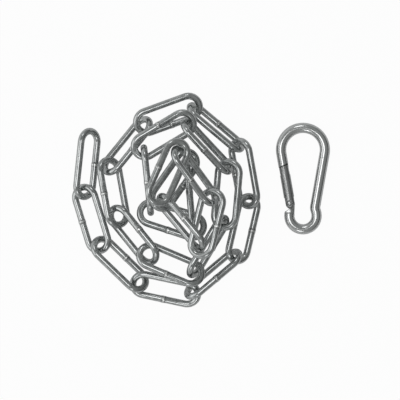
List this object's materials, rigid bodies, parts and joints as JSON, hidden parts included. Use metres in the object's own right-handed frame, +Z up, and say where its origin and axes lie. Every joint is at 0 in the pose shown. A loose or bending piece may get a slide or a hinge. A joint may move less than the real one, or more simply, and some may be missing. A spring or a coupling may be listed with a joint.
{
  "type": "chain and snap hook set",
  "caption": "Loosely spiralled length of welded long-link steel chain with a separate spring-gate snap hook, for hanging, tying and anchoring.",
  "frame": {"origin": "middle of the set's outline in plan, on the surface that it lies on", "axes": "+X from the chain towards the hook, +Y towards the hook's wide end, +Z up from the surface"},
  "size_m": [0.1136, 0.0946, 0.0332],
  "materials": {
    "zinc_chain": "bright zinc plated",
    "zinc_hook": "bright zinc plated",
    "bright_steel": "bright steel",
    "spring_steel": "dark drawn spring wire"
  },
  "bodies": {
    "link_01": {"link_01": "zinc_chain"},
    "link_02": {"link_02": "zinc_chain"},
    "link_03": {"link_03": "zinc_chain"},
    "link_04": {"link_04": "zinc_chain"},
    "link_05": {"link_05": "zinc_chain"},
    "link_06": {"link_06": "zinc_chain"},
    "link_07": {"link_07": "zinc_chain"},
    "link_08": {"link_08": "zinc_chain"},
    "link_09": {"link_09": "zinc_chain"},
    "link_10": {"link_10": "zinc_chain"},
    "link_11": {"link_11": "zinc_chain"},
    "link_12": {"link_12": "zinc_chain"},
    "link_13": {"link_13": "zinc_chain"},
    "link_14": {"link_14": "zinc_chain"},
    "link_15": {"link_15": "zinc_chain"},
    "link_16": {"link_16": "zinc_chain"},
    "link_17": {"link_17": "zinc_chain"},
    "link_18": {"link_18": "zinc_chain"},
    "link_19": {"link_19": "zinc_chain"},
    "link_20": {"link_20": "zinc_chain"},
    "link_21": {"link_21": "zinc_chain"},
    "link_22": {"link_22": "zinc_chain"},
    "link_23": {"link_23": "zinc_chain"},
    "link_24": {"link_24": "zinc_chain"},
    "link_25": {"link_25": "zinc_chain"},
    "hook": {"hook_frame": "zinc_hook"},
    "gate": {"gate": "zinc_hook", "gate_rivet": "bright_steel", "catch_pin": "bright_steel"},
    "plunger": {"gate_plunger": "bright_steel", "gate_spring": "spring_steel"}
  },
  "joints": [
    {"name": "lift_02", "type": "hinge", "parent": "link_01", "child": "link_02", "pos_m": [-0.05154, 0.00291, 0.005], "axis": [0.0349, -0.9994, 0], "range_deg": [0, 25]},
    {"name": "lift_03", "type": "hinge", "parent": "link_02", "child": "link_03", "pos_m": [-0.04466, -0.01961, 0.005], "axis": [0.515, -0.8572, 0], "range_deg": [0, 15]},
    {"name": "lift_04", "type": "hinge", "parent": "link_03", "child": "link_04", "pos_m": [-0.0268, -0.03685, 0.0055], "axis": [0.891, -0.454, 0], "range_deg": [0, 25]},
    {"name": "lift_05", "type": "hinge", "parent": "link_04", "child": "link_05", "pos_m": [-0.00514, -0.04146, 0.006], "axis": [0.9063, 0.4226, 0], "range_deg": [0, 20]},
    {"name": "lift_06", "type": "hinge", "parent": "link_05", "child": "link_06", "pos_m": [0.01591, -0.02379, 0.006], "axis": [0.4695, 0.8829, 0], "range_deg": [0, 15]},
    {"name": "lift_07", "type": "hinge", "parent": "link_06", "child": "link_07", "pos_m": [0.02123, -0.00074, 0.0058], "axis": [0.0872, 0.9962, 0], "range_deg": [0, 15]},
    {"name": "lift_08", "type": "hinge", "parent": "link_07", "child": "link_08", "pos_m": [0.01703, 0.02307, 0.0066], "axis": [-0.766, 0.6428, 0], "range_deg": [0, 10]},
    {"name": "lift_09", "type": "hinge", "parent": "link_08", "child": "link_09", "pos_m": [-0.00465, 0.04126, 0.0066], "axis": [-0.9962, -0.0872, 0], "range_deg": [0, 20]},
    {"name": "lift_10", "type": "hinge", "parent": "link_09", "child": "link_10", "pos_m": [-0.02415, 0.03416, 0.0064], "axis": [-0.809, -0.5878, 0], "range_deg": [0, 25]},
    {"name": "lift_11", "type": "hinge", "parent": "link_10", "child": "link_11", "pos_m": [-0.04043, 0.01406, 0.007], "axis": [-0.0872, -0.9962, 0], "range_deg": [0, 25]},
    {"name": "lift_12", "type": "hinge", "parent": "link_11", "child": "link_12", "pos_m": [-0.03674, -0.00681, 0.008], "axis": [0.4067, -0.9135, 0], "range_deg": [0, 25]},
    {"name": "lift_13", "type": "hinge", "parent": "link_12", "child": "link_13", "pos_m": [-0.0224, -0.02452, 0.01], "axis": [0.788, -0.6157, 0], "range_deg": [0, 15]},
    {"name": "lift_14", "type": "hinge", "parent": "link_13", "child": "link_14", "pos_m": [-0.00406, -0.03231, 0.0105], "axis": [0.7193, 0.6947, 0], "range_deg": [0, 20]},
    {"name": "lift_15", "type": "hinge", "parent": "link_14", "child": "link_15", "pos_m": [0.01046, -0.00814, 0.0115], "axis": [0.5736, 0.8192, 0], "range_deg": [0, 10]},
    {"name": "lift_16", "type": "hinge", "parent": "link_15", "child": "link_16", "pos_m": [0.01231, 0.01291, 0.0135], "axis": [-0.4695, 0.8829, 0], "range_deg": [0, 20]},
    {"name": "lift_17", "type": "hinge", "parent": "link_16", "child": "link_17", "pos_m": [-0.00739, 0.03404, 0.0155], "axis": [-0.9613, -0.2756, 0], "range_deg": [0, 15]},
    {"name": "lift_18", "type": "hinge", "parent": "link_17", "child": "link_18", "pos_m": [-0.02516, 0.02337, 0.015], "axis": [-0.1564, -0.9877, 0], "range_deg": [0, 25]},
    {"name": "lift_19", "type": "hinge", "parent": "link_18", "child": "link_19", "pos_m": [-0.02211, -0.00566, 0.01], "axis": [0.6691, -0.7431, 0], "range_deg": [0, 25]},
    {"name": "lift_20", "type": "hinge", "parent": "link_19", "child": "link_20", "pos_m": [-0.00375, -0.01162, 0.012], "axis": [-0.0872, 0.9962, 0], "range_deg": [0, 15]},
    {"name": "lift_21", "type": "hinge", "parent": "link_20", "child": "link_21", "pos_m": [-0.00622, 0.01663, 0.0155], "axis": [-0.2588, -0.9659, 0], "range_deg": [0, 10]},
    {"name": "lift_22", "type": "hinge", "parent": "link_21", "child": "link_22", "pos_m": [-0.01743, 0.00064, 0.0205], "axis": [0.6428, -0.766, 0], "range_deg": [0, 20]},
    {"name": "lift_23", "type": "hinge", "parent": "link_22", "child": "link_23", "pos_m": [0.00008, -0.02023, 0.024], "axis": [0.3746, 0.9272, 0], "range_deg": [0, 10]},
    {"name": "lift_24", "type": "hinge", "parent": "link_23", "child": "link_24", "pos_m": [0.00507, -0.00021, 0.025], "axis": [-0.3584, 0.9336, 0], "range_deg": [0, 15]},
    {"name": "lift_25", "type": "hinge", "parent": "link_24", "child": "link_25", "pos_m": [-0.0105, 0.02123, 0.028], "axis": [-0.6947, -0.7193, 0], "range_deg": [0, 8]},
    {"name": "hook_lift", "type": "slide", "parent": "link_01", "child": "hook", "axis": [0, 0, 1], "range_m": [0, 0.04]},
    {"name": "gate_swing", "type": "hinge", "parent": "hook", "child": "gate", "pos_m": [0.03918, -0.00124, 0.0023], "axis": [0, 0, -1], "range_deg": [0, 30], "stiffness_Nm_per_rad": 0.02, "springref_deg": -11.46},
    {"name": "plunger_slide", "type": "slide", "parent": "gate", "child": "plunger", "axis": [-0.1736, 0.9848, 0], "range_m": [0, 0.0006]}
  ],
  "couplings": [
    {"joint": "plunger_slide", "follows": "gate_swing", "m_per_rad": 0.001023}
  ]
}
